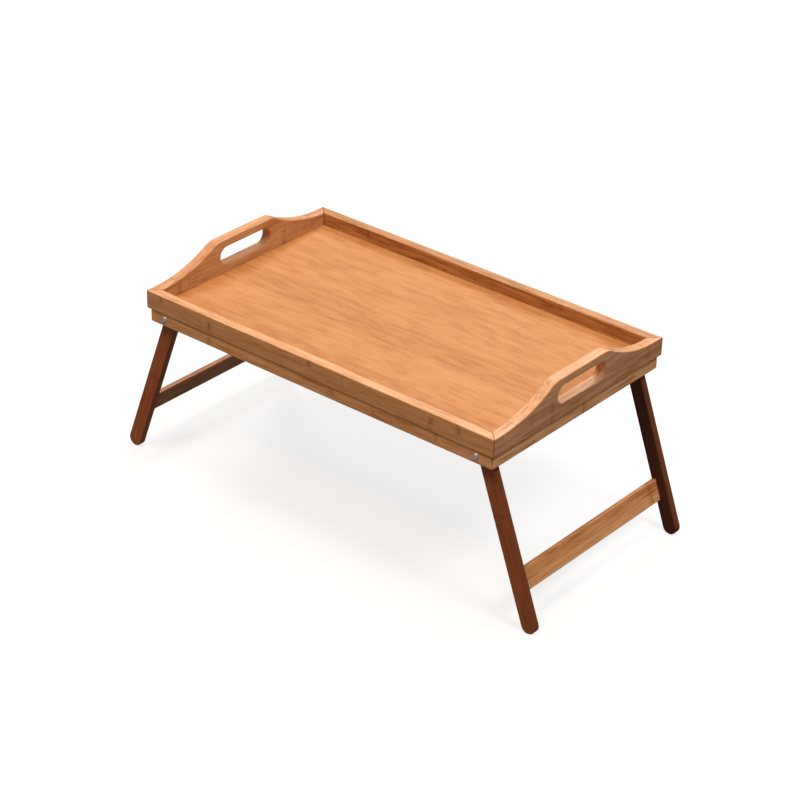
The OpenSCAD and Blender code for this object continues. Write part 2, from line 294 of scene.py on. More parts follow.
def bar(bm, section, start, across, up, travel):
    """Bar swept straight along travel, with its section drawn on the across and up directions."""
    verts = [bm.verts.new(start + across * p[0] + up * p[1]) for p in section]
    extrude(bm, [bm.faces.new(verts)], travel)


def slice_at(bm, point, normal, part=None, clear=False):
    """Slices the mesh, or a part of it, along a plane, and may clear what lies beyond the plane."""
    found = bmesh.ops.bisect_plane(
        bm,
        geom=part or bm.verts[:] + bm.edges[:] + bm.faces[:],
        dist=WELD,
        plane_co=point,
        plane_no=normal,
        clear_outer=clear,
    )
    return edges_of(found["geom_cut"])


def cut(bm, point, outward, chamfer):
    """Cuts off what lies beyond a plane, closes the cut, and chamfers its rim back from the plane."""
    normal = outward.normalized()
    rim = slice_at(bm, point - normal * chamfer, normal, clear=True)
    cap = bmesh.ops.edgeloop_fill(bm, edges=rim)["faces"]
    if cap[0].normal.dot(normal) < 0:
        bmesh.ops.reverse_faces(bm, faces=cap)
    inset(bm, cap, chamfer, chamfer)


def groove(bm, into, point, low, high, depth):
    """Sinks a groove between two heights into the flat face through the point."""
    for height in (low, high):
        wall = lying_on(bm, -into, point)
        parts = {part for face in wall for part in (*face.edges, *face.verts)}
        slice_at(bm, Z * height, Z, part=wall + list(parts))
    strip = [f for f in lying_on(bm, -into, point) if low < f.calc_center_median().z < high]
    extrude(bm, strip, into * depth)


def open_face(bm, normal, point, outlines):
    """Opens loops in the flat face through the point and returns the edges of each."""
    loops = [loop(bm, outline) for outline in outlines]
    refill(bm, lying_on(bm, normal, point), loops)
    return loops


def sink(bm, edges, travel, close=True):
    """Draws a loop of edges into a hole, and closes its far end if asked."""
    made = bmesh.ops.extrude_edge_only(bm, edges=edges)["geom"]
    bmesh.ops.translate(bm, verts=verts_of(made), vec=travel)
    if close:
        bmesh.ops.edgeloop_fill(bm, edges=edges_of(made))


def ring_at(centre, across, up, radius, steps=32):
    """Points of a circle in space."""
    return [centre + across * p.x + up * p.y for p in circle(radius, steps)]


def lathe(bm, profile, closed=False, steps=48):
    """Turns (radius, height) points round Z and returns the new vertices."""
    old = set(bm.verts)
    verts = [bm.verts.new((r, 0, z)) for r, z in profile]
    ends = verts[1:] + verts[:1] if closed else verts[1:]
    edges = [bm.edges.new(pair) for pair in zip(verts, ends)]
    bmesh.ops.spin(
        bm, geom=verts + edges, cent=(0, 0, 0), axis=Z, angle=2 * pi, steps=steps, use_merge=True
    )
    bmesh.ops.remove_doubles(bm, verts=[v for v in bm.verts if v not in old], dist=WELD)
    return [v for v in bm.verts if v not in old]


def place(centre, across, up):
    """Matrix that lays X along across, Y along up and Z at right angles to both."""
    turned = Matrix((across, up, across.cross(up))).transposed().to_4x4()
    return Matrix.Translation(centre) @ turned


def to_object(bm, name, materials):
    """Ends a bmesh as an object with those materials, at the origin."""
    mesh = bpy.data.meshes.new(name)
    bm.to_mesh(mesh)
    bm.free()
    for material in materials:
        mesh.materials.append(material)
    obj = bpy.data.objects.new(name, mesh)
    bpy.context.scene.collection.objects.link(obj)
    return obj


def piece(bm, node, stuff, *materials):
    """Finishes a mesh as the piece that stands for a CAD node and rides on its body."""
    bmesh.ops.remove_doubles(bm, verts=bm.verts, dist=WELD)
    bmesh.ops.recalc_face_normals(bm, faces=bm.faces)
    for f in bm.faces:
        f.smooth = True
    for e in bm.edges:
        e.smooth = len(e.link_faces) == 2 and e.calc_face_angle() < SHARP_ANGLE
    obj = to_object(bm, f"{node}_{stuff}", materials)
    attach(obj, BODY_OF[node])
    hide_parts(node)


# Finishes


class Finish:
    """Builds one material's nodes. Values are numbers, or outputs of other nodes."""

    def __init__(self, name):
        self.material = bpy.data.materials.new(name)
        self.material.use_nodes = True
        self.tree = self.material.node_tree
        self.shader = self.tree.nodes["Principled BSDF"]

    def put(self, socket, value):
        """Links a node's output to a socket, or sets the socket to a number."""
        if isinstance(value, bpy.types.NodeSocket):
            self.tree.links.new(value, socket)
        elif value is not None:
            socket.default_value = value

    def node(self, kind, output=0, inputs=None, **settings):
        """One output of a new node."""
        made = self.tree.nodes.new(kind)
        for key, value in settings.items():
            setattr(made, key, value)
        for key, value in (inputs or {}).items():
            self.put(made.inputs[key], value)
        return made.outputs[output]

    def spot(self):
        """The place on the object."""
        return self.node("ShaderNodeTexCoord", output="Object")

    def math(self, operation, a, b=None, c=None):
        """A sum of numbers or outputs."""
        return self.node("ShaderNodeMath", inputs={0: a, 1: b, 2: c}, operation=operation)

    def apart(self, a, b):
        """How far apart two values are."""
        return self.math("ABSOLUTE", self.math("SUBTRACT", a, b))

    def axes(self, vector):
        """The X, Y and Z of a vector."""
        return self.node("ShaderNodeSeparateXYZ", inputs={0: vector}).node.outputs[:3]

    def fade(self, value, low, high, start=0.0, end=1.0):
        """start at low, end at high, and a smooth step between them."""
        inputs = {"Value": value, "From Min": low, "From Max": high, "To Min": start, "To Max": end}
        return self.node("ShaderNodeMapRange", inputs=inputs, interpolation_type="SMOOTHSTEP")

    def noise(self, vector, *waves, detail=3.0, roughness=0.55):
        """Noise of so many waves to a metre, with one number or one for each axis."""
        waves = waves * 3 if len(waves) == 1 else waves
        scaled = self.node("ShaderNodeVectorMath", inputs={0: vector, 1: waves}, operation="MULTIPLY")
        inputs = {"Vector": scaled, "Scale": 1.0, "Detail": detail, "Roughness": roughness}
        return self.node("ShaderNodeTexNoise", inputs=inputs)

    def mix(self, factor, a, b):
        """The colour a turning into b."""
        made = self.tree.nodes.new("ShaderNodeMix")
        made.data_type = "RGBA"
        sockets = {socket.identifier: socket for socket in (*made.inputs, *made.outputs)}
        for key, value in (("Factor_Float", factor), ("A_Color", a), ("B_Color", b)):
            self.put(sockets[key], value)
        return sockets["Result_Color"]

    def bump(self, strength, distance, height):
        """Bumps of the surface, for its Normal."""
        inputs = {"Strength": strength, "Distance": distance, "Height": height}
        return self.node("ShaderNodeBump", inputs=inputs)

    def set(self, **values):
        """Sets or links the shader's own sockets."""
        for key, value in values.items():
            self.put(self.shader.inputs[key.replace("_", " ")], value)


def toned(base, factors):
    """A colour times one factor a channel."""
    return tuple(min(1.0, c * factor) for c, factor in zip(base, factors))


def tint(base, factors=(1.0, 1.0, 1.0)):
    """The same as RGBA, for a node's socket."""
    return (*toned(base, factors), 1.0)


def grain_turn(along, across):
    """Rotation that lays the grain direction on X and the strip direction on Y."""
    return Matrix((along, across, along.cross(across))).to_euler("XYZ")


# Bamboo's colours as factors on its middle tone, at the places that they hold on the grain's scale
GRAIN_SCALE = {0.05: (0.61, 0.45, 0.31), 0.5: (1.0, 1.0, 1.0), 0.95: (1.19, 1.34, 1.58)}
# Colour factors of the dark marks, and of the painted shade on the legs' faces and edges
DARK_MARK_AND_PAINTED_SHADE = (0.32, 0.19, 0.12)
# The first layer starts this share of a layer below the origin
LAYER_OFFSET = 0.37
# Every strip has its own faint knots, this far apart
KNOT_PITCH = 0.21


def bamboo(
    name, tone, along, across, strip, layer, seed, contrast,
    knots=(), shine=0.42, soft=0.0, mitre=None, edges=None,
):
    """Laminated bamboo: strips side by side across the grain, in layers, with fibres, joints and knots.

    strip and layer are a strip's width and thickness. contrast is the strength of the grain, and soft
    turns fine fibres into broad, faint streaks. knots are (along, low, high) places on the grain and
    strip directions. mitre is how much further a frame's corners reach along X than along Y, where its
    glue lines lie. edges are the places of the two narrow edges on the strip direction, and how much
    painted shade darkens the faces and the edges.
    """
    f = Finish(name)
    spot = f.spot()
    p = f.node("ShaderNodeMapping", inputs={"Vector": spot, "Rotation": grain_turn(along, across)})
    u, v, w = f.axes(p)
    # Which strip of which layer this is, and random values for it
    row = f.math("ADD", f.math("DIVIDE", v, strip), seed)
    course = f.math("ADD", f.math("DIVIDE", w, layer), LAYER_OFFSET)
    cell = {0: f.math("FLOOR", row), 1: f.math("FLOOR", course), 2: seed}
    dice = {"Vector": f.node("ShaderNodeCombineXYZ", inputs=cell)}
    chance = f.node("ShaderNodeTexWhiteNoise", inputs=dice, noise_dimensions="3D")
    shift = {0: chance.node.outputs["Color"], 1: (3.0, 3.0, 3.0), 2: p}
    moved = f.node("ShaderNodeVectorMath", inputs=shift, operation="MULTIPLY_ADD")
    # Fibres, from fine to broad, and what share of the tone each has
    sharp, broad = 1 - soft, 1 + soft
    fibre = f.noise(moved, 34.0, 620.0, 620.0, roughness=0.6)
    shares = {
        f.noise(moved, 40.0, 1900.0, 1900.0, detail=2.0): 0.35 * sharp,
        fibre: 0.75 * sharp,
        f.noise(moved, 17.0 * broad, 210.0 * sharp, 210.0 * sharp): 0.8 * broad,
        f.noise(p, 5.0, 14.0, 14.0, detail=2.0): 0.25,
        chance: 0.30,
    }
    grain = 0.5
    for value, share in shares.items():
        grain = f.math("MULTIPLY_ADD", f.math("SUBTRACT", value, 0.5), share * contrast, grain)
    ramp = f.node("ShaderNodeValToRGB", inputs={0: grain})
    stops = ramp.node.color_ramp.elements
    stops.new(0.5)
    for stop, (position, factors) in zip(stops, GRAIN_SCALE.items()):
        stop.position = position
        stop.color = tint(tone, factors)
    # Short dark bundles of fibres, and fine dark joints between the strips
    bundle = f.noise(moved, 26.0, 1300.0, 1300.0, detail=1.0)
    seam = f.apart(f.math("FRACT", row), 0.5)
    marks = [
        f.fade(bundle, 0.66, 0.76, 0.0, 0.34 * contrast * sharp),
        f.fade(seam, 0.5 - 0.30 * MM / strip, 0.5, 0.0, 0.30),
    ]
    # Knots: a ragged dark line across a strip with a shaded band on both sides
    ragged = f.noise(p, 90.0, 300.0, 300.0)
    bent = f.math("MULTIPLY_ADD", f.math("SUBTRACT", ragged, 0.5), 6.0 * MM, u)
    broken = f.fade(f.noise(p, 150.0, detail=1.0), 0.38, 0.58, 0.35, 1.0)
    for at, low, high in knots:
        away = f.apart(bent, at)
        line = f.fade(away, 0.2 * MM, 1.3 * MM, 0.62, 0.0)
        band = f.fade(away, 0.5 * MM, 6.0 * MM, 0.36, 0.0)
        above = f.fade(v, low - 0.4 * MM, low + 0.4 * MM)
        below = f.fade(v, high - 0.4 * MM, high + 0.4 * MM, 1.0, 0.0)
        inside = f.math("MULTIPLY", above, below)
        knot = f.math("MULTIPLY", f.math("MAXIMUM", line, band), broken)
        marks.append(f.math("MULTIPLY", knot, inside))
    own = f.math("FRACT", f.math("MULTIPLY_ADD", chance, 7.3, f.math("DIVIDE", bent, KNOT_PITCH)))
    away = f.math("MULTIPLY", f.apart(own, 0.5), KNOT_PITCH)
    marks.append(f.fade(away, 0.2 * MM, 2.2 * MM, 0.11 * contrast, 0.0))
    if mitre is not None:
        x, y = f.axes(spot)[:2]
        spread = f.math("SUBTRACT", f.math("ABSOLUTE", x), f.math("ABSOLUTE", y))
        marks.append(f.fade(f.apart(spread, mitre), 0.35 * MM, 1.1 * MM, 0.85, 0.0))
    if edges is not None:
        # Painted shade: the faces and the narrow edges darken towards the dark marks' colour, standing in for
        # shade
        low, high, painted_face_shade, painted_edge_shade = edges
        half = (high - low) / 2
        off = f.apart(v, (low + high) / 2)
        marks.append(f.fade(off, half - 1.4 * MM, half - 0.3 * MM, painted_face_shade, painted_edge_shade))
    # dark holds the grain's marks, joints and knots, and on the legs also the painted shade
    dark = marks[0]
    for mark in marks[1:]:
        dark = f.math("MAXIMUM", dark, mark)
    height = f.math("MULTIPLY_ADD", fibre, 0.5, f.math("MULTIPLY", dark, -0.8))
    f.set(
        Base_Color=f.mix(dark, ramp, tint(tone, DARK_MARK_AND_PAINTED_SHADE)),
        Roughness=f.fade(fibre, 0.3, 0.7, shine + 0.06, shine - 0.04),
        Normal=f.bump(0.25, 0.1 * MM, height),
        Specular_IOR_Level=0.3,
    )
    return f.material


def bamboo_piece(bm, node, *look, **more):
    """Finishes a mesh as the piece for a CAD node, in bamboo of its own."""
    piece(bm, node, "bamboo", bamboo(f"bamboo_{node}", *look, **more))


def plated(name, tone, roughness, marks):
    """Plated steel with fine marks, so many to a metre. It is built once."""
    if name in bpy.data.materials:
        return bpy.data.materials[name]
    f = Finish(name)
    p = f.spot()
    fine = f.noise(p, *marks)
    patch = f.fade(f.noise(p, 180.0, detail=2.0), 0.35, 0.7)
    f.set(
        Base_Color=f.mix(patch, tint(tone, (0.92, 0.92, 0.93)), tint(tone)),
        Roughness=f.fade(fine, 0.3, 0.7, roughness - 0.05, roughness + 0.08),
        Normal=f.bump(0.2, 0.02 * MM, fine),
        Metallic=1.0,
    )
    return f.material


def bright_plate(finishes):
    """The bright plating of the bolts, tumbled."""
    return plated("bright_plated_steel", finishes.chrome, 0.50, (900.0,))


def zinc_plate(finishes):
    """The zinc plating of nuts, washers and screws, brushed."""
    return plated("zinc_plated_steel", finishes.zinc, 0.34, (260.0, 2600.0, 260.0))


def natural_nylon(finishes):
    """The nylon of spacers and nut inserts: waxy, with a faint cloud in it. It is built once."""
    name, tone = "natural_nylon", finishes.nylon
    if name in bpy.data.materials:
        return bpy.data.materials[name]
    f = Finish(name)
    p = f.spot()
    cloud = f.noise(p, 320.0)
    grit = f.noise(p, 2600.0, detail=1.0)
    pale, dull = tint(tone), tint(tone, (0.93, 0.92, 0.90))
    f.set(
        Base_Color=f.mix(f.fade(cloud, 0.3, 0.7), dull, pale),
        Roughness=f.fade(cloud, 0.3, 0.7, 0.38, 0.50),
        Normal=f.bump(0.15, 0.02 * MM, grit),
    )
    return f.material


def leg_lines(end):
    """A leg's pivot, the centre of its round foot, its width, and its grain and width directions."""
    name = "left" if end == LEFT else "right"
    low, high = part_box(f"front_{name}_leg")
    joint = next(j for j in frame["joints"] if j["name"] == f"{name}_leg_fold")
    pivot = Vector(joint["pos_m"])
    width = 2 * (high.z - pivot.z)
    foot_x = high.x - width / 2 if end == RIGHT else low.x + width / 2
    foot = Vector((foot_x, pivot.y, width / 2))
    along = (foot - pivot).normalized()
    return pivot, foot, width, along, Y.cross(along)


# Pieces


def tray_box():
    """Lowest and highest corner of the tray up to its rim, and the thickness of its walls."""
    low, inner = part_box("front_rail")
    return low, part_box("back_rail")[1], inner.y - low.y


# The floor panel's field ends in a chamfer this wide
FIELD_CHAMFER = 0.2 * MM


class TRAYTABLE_OT_floor_panel(bpy.types.Operator):
    """Make the floor panel, with a raised field and a tongue that sits in the walls' grooves"""

    bl_idname = "traytable.floor_panel"
    bl_label = "Floor Panel"

    def execute(self, context):
        sizes, finishes = settings(context)
        low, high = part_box("tray_panel")
        tray_high, wall = tray_box()[1:]
        tongue_top = high.z - sizes.rebate
        tongue = high.x - (tray_high.x - wall - sizes.field_gap)
        bm = bmesh.new()
        corners = ((low.x, low.y), (high.x, low.y), (high.x, high.y), (low.x, high.y))
        verts = [bm.verts.new((x, y, low.z)) for x, y in corners]
        extrude(bm, [bm.faces.new(verts)], Z * (tongue_top - low.z))
        top = lying_on(bm, Z, Z * tongue_top)
        inset(bm, top, tongue, 0.0)
        inset(bm, top, 0.0, sizes.rebate - FIELD_CHAMFER)
        inset(bm, top, FIELD_CHAMFER, FIELD_CHAMFER)
        material = bamboo(
            "bamboo_floor", finishes.floor, X, Y, strip=19.6 * MM, layer=9 * MM,
            seed=0.13, contrast=0.64, shine=0.60, soft=0.5,
        )
        piece(bm, "tray_panel", "bamboo", material)
        return {"FINISHED"}


def walled_section(sizes, wall, low, high, panel_low, panel_high):
    """Section of a rail, from its outside inward and from its bottom up, with the floor panel's groove."""
    groove_top = panel_high - sizes.rebate + sizes.groove_play
    deep = wall - sizes.groove_depth
    slot = [(wall, groove_top, 0), (deep, groove_top, 0), (deep, panel_low, 0), (wall, panel_low, 0)]
    return eased([(0, low), (0, high), (wall, high), *slot, (wall, low)], sizes.tray_ease)


# The rails, aprons, legs and stretchers are each narrower than this, so one strip makes them up
WHOLE_STRIP = 40 * MM
# The thickness of a layer in the tray's walls
TRAY_LAYER = 4.4 * MM
# A knot of a rail stops this far under the rim
KNOT_STOP = 0.3 * MM
# Painted shade: the back rail, the left handle end and the left stretcher are toned darker, standing in for the
# shade on their inner faces
RAIL_PAINTED_SHADE = {"front": (1.0, 1.0, 1.0), "back": (0.79, 0.75, 0.68)}
HANDLE_PAINTED_SHADE = {"left": (0.90, 0.84, 0.76), "right": (1.0, 1.0, 1.0)}
STRETCHER_PAINTED_SHADE = {"left": (0.67, 0.63, 0.66), "right": (1.0, 1.0, 1.0)}


class TRAYTABLE_OT_rails(bpy.types.Operator):
    """Make the front and back rails, grooved for the floor panel and mitred at both ends"""

    bl_idname = "traytable.rails"
    bl_label = "Rails"

    def execute(self, context):
        sizes, finishes = settings(context)
        tray_low, tray_high, wall = tray_box()
        panel_low, panel_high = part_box("tray_panel")
        section = walled_section(sizes, wall, tray_low.z, tray_high.z, panel_low.z, panel_high.z)
        low, high = tray_low.z, tray_high.z - KNOT_STOP
        middle = (tray_low.z + tray_high.z) / 2
        knots = {
            "front": [
                (-0.227, middle + 2 * MM, high),
                (-0.153, low, middle + 4 * MM),
                (-0.004, middle + 3 * MM, high),
                (0.166, low, middle + 6 * MM),
                (0.203, middle - 1 * MM, high),
            ],
            "back": [(-0.166, middle, high), (-0.05, low, middle), (0.12, middle - 2 * MM, high)],
        }
        for name, side in SIDES.items():
            bm = bmesh.new()
            start = Vector((tray_low.x - SPARE, side * tray_high.y, 0))
            bar(bm, section, start, Y * -side, Z, X * (tray_high.x - tray_low.x + 2 * SPARE))
            for end in (LEFT, RIGHT):
                corner = Vector((end * tray_high.x, side * tray_high.y, 0))
                cut(bm, corner, X * end - Y * side, sizes.joint_chamfer)
            # The back rail's darker tone is painted shade
            bamboo_piece(
                bm, f"{name}_rail", toned(finishes.rail, RAIL_PAINTED_SHADE[name]), X, Z,
                strip=WHOLE_STRIP, layer=TRAY_LAYER, seed=0.31 + side * 0.1, contrast=1.9,
                knots=knots[name], mitre=tray_high.x - tray_high.y,
            )
        return {"FINISHED"}


def handle_outlines(sizes, half_width, low, rim, top):
    """Outline of a handle end's blank on Y and Z, and the outline of its hand slot."""
    rise = top - rim
    foot = half_width - sizes.rim_level
    run = foot - sizes.handle_top / 2
    slope = 2 * atan(rise / run)
    hollow = run / sin(slope) - sizes.shoulder
    steepest = degrees(slope)
    shoulder = arc((sizes.handle_top / 2, top - sizes.shoulder), sizes.shoulder, 90, 90 - steepest, 14)
    dip = arc((foot, rim + hollow), hollow, 270 - steepest, 270, 26)
    curve = shoulder + dip[1:] + [Vector((half_width + SPARE, rim))]
    back = curve + [Vector((half_width + SPARE, low))]
    outline = [Vector((-p.x, p.y)) for p in reversed(back)] + back
    bow = sizes.slot_height / 2
    reach = sizes.slot_length / 2 - bow
    centre_z = top - sizes.slot_bar - bow
    slot = arc((reach, centre_z), bow, -90, 90, 20) + arc((-reach, centre_z), bow, 90, 270, 20)
    return outline, slot


class TRAYTABLE_OT_handle_ends(bpy.types.Operator):
    """Make the scalloped handle ends, each with its hand slot, groove and mitres"""

    bl_idname = "traytable.handle_ends"
    bl_label = "Handle Ends"

    def execute(self, context):
        sizes, finishes = settings(context)
        tray_low, tray_high, wall = tray_box()
        panel_low, panel_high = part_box("tray_panel")
        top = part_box("right_handle_end")[1].z
        low, rim = tray_low.z, tray_high.z
        outline, slot = handle_outlines(sizes, tray_high.y, low, rim, top)
        groove_top = panel_high.z - sizes.rebate + sizes.groove_play
        knots = {
            "right": [(-0.051, low, low + 25 * MM), (0.123, low + 4 * MM, rim)],
            "left": [(0.066, low, low + 25 * MM), (-0.110, low, rim)],
        }
        for name, end in ENDS.items():
            bm = bmesh.new()
            plate(bm, [outline, slot], wall, sizes.tray_ease)
            inner_x = min(end * tray_high.x, end * (tray_high.x - wall))
            bmesh.ops.transform(bm, matrix=place(X * inner_x, Y, Z), verts=bm.verts)
            wall_face = X * end * (tray_high.x - wall)
            groove(bm, X * end, wall_face, panel_low.z, groove_top, sizes.groove_depth)
            for side in (FRONT, BACK):
                corner = Vector((end * tray_high.x, side * tray_high.y, 0))
                cut(bm, corner, Y * side - X * end, sizes.joint_chamfer)
            # The left handle end's darker tone is painted shade
            bamboo_piece(
                bm, f"{name}_handle_end", toned(finishes.handle, HANDLE_PAINTED_SHADE[name]), Y, Z,
                strip=24 * MM, layer=TRAY_LAYER, seed=0.46, contrast=1.35,
                knots=knots[name], mitre=tray_high.x - tray_high.y,
            )
        return {"FINISHED"}


def round_ends(bm, along, outward, half, mid, radius):
    """Bends the outer face of a bar in at both ends, as half of the round corner of its frame."""
    turns = [pi / 4 * k / ROUND_STEPS for k in range(1, ROUND_STEPS + 1)]
    places = [half - radius + radius * sin(turn) for turn in turns] + [half - radius - SUPPORT]
    for at in [end * place_out for end in (-1, 1) for place_out in places]:
        slice_at(bm, along * at, along)
    for v in bm.verts:
        past = min(abs(v.co.dot(along)) - (half - radius), radius)
        if past > 0 and v.co.dot(outward) > mid:
            v.co -= outward * (radius - sqrt(radius * radius - past * past))


class TRAYTABLE_OT_aprons(bpy.types.Operator):
    """Make the under frame's four aprons, with mitred round corners, bolt holes and sunk screw holes"""

    bl_idname = "traytable.aprons"
    bl_label = "Aprons"

    def execute(self, context):
        sizes, finishes = settings(context)
        front_low, front_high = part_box("front_apron")
        half_x, half_y, deep = front_high.x, -front_low.y, front_high.y - front_low.y
        low, high = front_low.z, front_high.z
        screw_low, screw_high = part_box("apron_screws")
        line_x = screw_high.x - sizes.screw_head / 2
        line_y = screw_high.y - sizes.screw_head / 2
        seat = screw_low.z + sizes.screw_head_height
        corners = [(0, low), (0, high, sizes.shadow_gap), (deep, high), (deep, low)]
        section = eased(corners, sizes.apron_ease)
        rail_screws = [k * sizes.rail_screws for k in (-1, 0, 1)]
        end_screws = [k * sizes.end_screws / 2 for k in (-1, 1)]
        frames = {
            "front": (X, -Y, half_x, half_y, line_y, rail_screws),
            "back": (X, Y, half_x, half_y, line_y, rail_screws),
            "left": (Y, -X, half_y, half_x, line_x, end_screws),
            "right": (Y, X, half_y, half_x, line_x, end_screws),
        }
        knots = {
            "front": [
                (-0.155, low, low + 11 * MM), (0.025, low + 2 * MM, high), (0.172, low + 5 * MM, high)
            ],
            "back": [(-0.02, low, high), (0.14, low, low + 9 * MM)],
            "left": [(0.03, low, high)],
            "right": [(0.010, low, high)],
        }
        for name, (along, outward, half, reach, line, screws) in frames.items():
            bm = bmesh.new()
            start = outward * reach - along * (half + SPARE)
            bar(bm, section, start, -outward, Z, along * 2 * (half + SPARE))
            round_ends(bm, along, outward, half, reach - deep / 2, sizes.apron_corner)
            for end in (-1, 1):
                cut(bm, along * end * half + outward * reach, along * end - outward, sizes.joint_chamfer)
            centres = [along * at + outward * line + Z * low for at in screws]
            holes = [ring_at(centre, X, Y, sizes.screw_hole / 2) for centre in centres]
            for edges in open_face(bm, -Z, Z * low, holes):
                sink(bm, edges, Z * (seat - low))
            if along == X:
                pivots = [leg_lines(end)[0] for end in (LEFT, RIGHT)]
                outer, inner = outward * reach, outward * (reach - deep)
                bore = sizes.shank / 2 + sizes.bolt_play
                near, far = [[ring_at(p + at, X, Z, bore) for p in pivots] for at in (inner, outer)]
                for edges in open_face(bm, outward, outer, far):
                    sink(bm, edges, outward * -deep, close=False)
                open_face(bm, -outward, inner, near)
            bamboo_piece(
                bm, f"{name}_apron", finishes.apron, along, Z, strip=WHOLE_STRIP, layer=5 * MM,
                seed=0.58, contrast=1.9, knots=knots[name], mitre=half_x - half_y,
            )
        return {"FINISHED"}


# Limits past any strip, for a knot that goes right across a piece
RIGHT_ACROSS = (-1.0, 1.0)
# How far each leg's own piece of bamboo departs from the middle tone of the stain, and how much painted shade
# darkens its faces and its narrow edges. The back-right leg's low tone and dark faces are painted shade for the
# shade under the tray
LEG_TONE_AND_PAINTED_SHADE = {
    "front_left_leg": (1.2, 0.0, 0.42),
    "front_right_leg": (1.0, 0.0, 0.60),
    "back_right_leg": (0.5, 0.8, 0.0),
    "back_left_leg": (0.8, 0.0, 0.3),
}


class TRAYTABLE_OT_legs(bpy.types.Operator):
    """Make the four stained legs, with round ends and a pivot bore"""

    bl_idname = "traytable.legs"
    bl_label = "Legs"

    def execute(self, context):
        sizes, finishes = settings(context)
        for end_name, end in ENDS.items():
            pivot, foot, width, along, across = leg_lines(end)
            reach = (foot - pivot).length
            outline = arc((0, 0), width / 2, 90, 270, 20) + arc((reach, 0), width / 2, -90, 90, 20)
            bore = circle(sizes.shank / 2 + sizes.pivot_play)
            for side_name, side in SIDES.items():
                node = f"{side_name}_{end_name}_leg"
                low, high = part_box(node)
                bm = bmesh.new()
                plate(bm, [outline, bore], high.y - low.y, sizes.leg_ease)
                face_y = low.y if along.cross(across).y > 0 else high.y
                centre = Vector((pivot.x, face_y, pivot.z))
                bmesh.ops.transform(bm, matrix=place(centre, along, across), verts=bm.verts)
                origin, middle = pivot.dot(along), pivot.dot(across)
                # The last two values darken the leg's faces and narrow edges as painted shade
                depth, *painted_shade = LEG_TONE_AND_PAINTED_SHADE[node]
                bamboo_piece(
                    bm, node, toned(finishes.leg, [depth] * 3), along, across,
                    strip=WHOLE_STRIP, layer=4.5 * MM, seed=0.2 + 0.17 * side + 0.31 * end, contrast=0.95,
                    knots=[(origin + (85 + 12 * side * end) * MM, *RIGHT_ACROSS)],
                    shine=0.46, edges=(middle - width / 2, middle + width / 2, *painted_shade),
                )
        return {"FINISHED"}


class TRAYTABLE_OT_stretchers(bpy.types.Operator):
    """Make the flat stretcher between each pair of legs"""

    bl_idname = "traytable.stretchers"
    bl_label = "Stretchers"

    def execute(self, context):
        sizes, finishes = settings(context)
        for name, end in ENDS.items():
            along, across = leg_lines(end)[3:]
            low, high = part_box(f"{name}_stretcher")
            lean = abs(atan2(along.x, -along.z))
            wide, tall = high.x - low.x, high.z - low.z
            # The box of a leaning rectangle gives back its two sides
            turn = cos(lean) ** 2 - sin(lean) ** 2
            thick = (wide * cos(lean) - tall * sin(lean)) / turn
            broad = (tall * cos(lean) - wide * sin(lean)) / turn
            centre = (low + high) / 2
            x, y = broad / 2, thick / 2
            section = eased([(-x, -y), (x, -y), (x, y), (-x, y)], sizes.stretcher_ease)
            bm = bmesh.new()
            start = Vector((centre.x, low.y - SPARE, centre.z))
            bar(bm, section, start, along, across, Y * (high.y - low.y + 2 * SPARE))
            for side, at in ((FRONT, low.y), (BACK, high.y)):
                cut(bm, Y * at, Y * side, sizes.joint_chamfer)
            # The left stretcher's darker tone is painted shade
            bamboo_piece(
                bm, f"{name}_stretcher", toned(finishes.stretcher, STRETCHER_PAINTED_SHADE[name]), Y, along,
                strip=WHOLE_STRIP, layer=3 * MM, seed=0.7 + 0.1 * end, contrast=1.5,
                knots=[(0.112 * end, *RIGHT_ACROSS)],
            )
        return {"FINISHED"}


def at_pivot(bm, end, side, depth):
    """Lays hardware that is drawn with its head up at a pivot, that far out from the table's middle."""
    pivot = leg_lines(end)[0]
    centre = Vector((pivot.x, side * depth, pivot.z))
    bmesh.ops.transform(bm, matrix=place(centre, X, Z * -side), verts=bm.verts)


def each_pivot():
    """Name, end and side of each of the four pivots."""
    return [(f"{s}_{e}", end, side) for e, end in ENDS.items() for s, side in SIDES.items()]


def span(node, side):
    """Half the width of a pivot's piece, and how near and far it reaches from the table's middle."""
    low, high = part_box(node)
    near, far = sorted((side * low.y, side * high.y))
    return (high.x - low.x) / 2, near, far


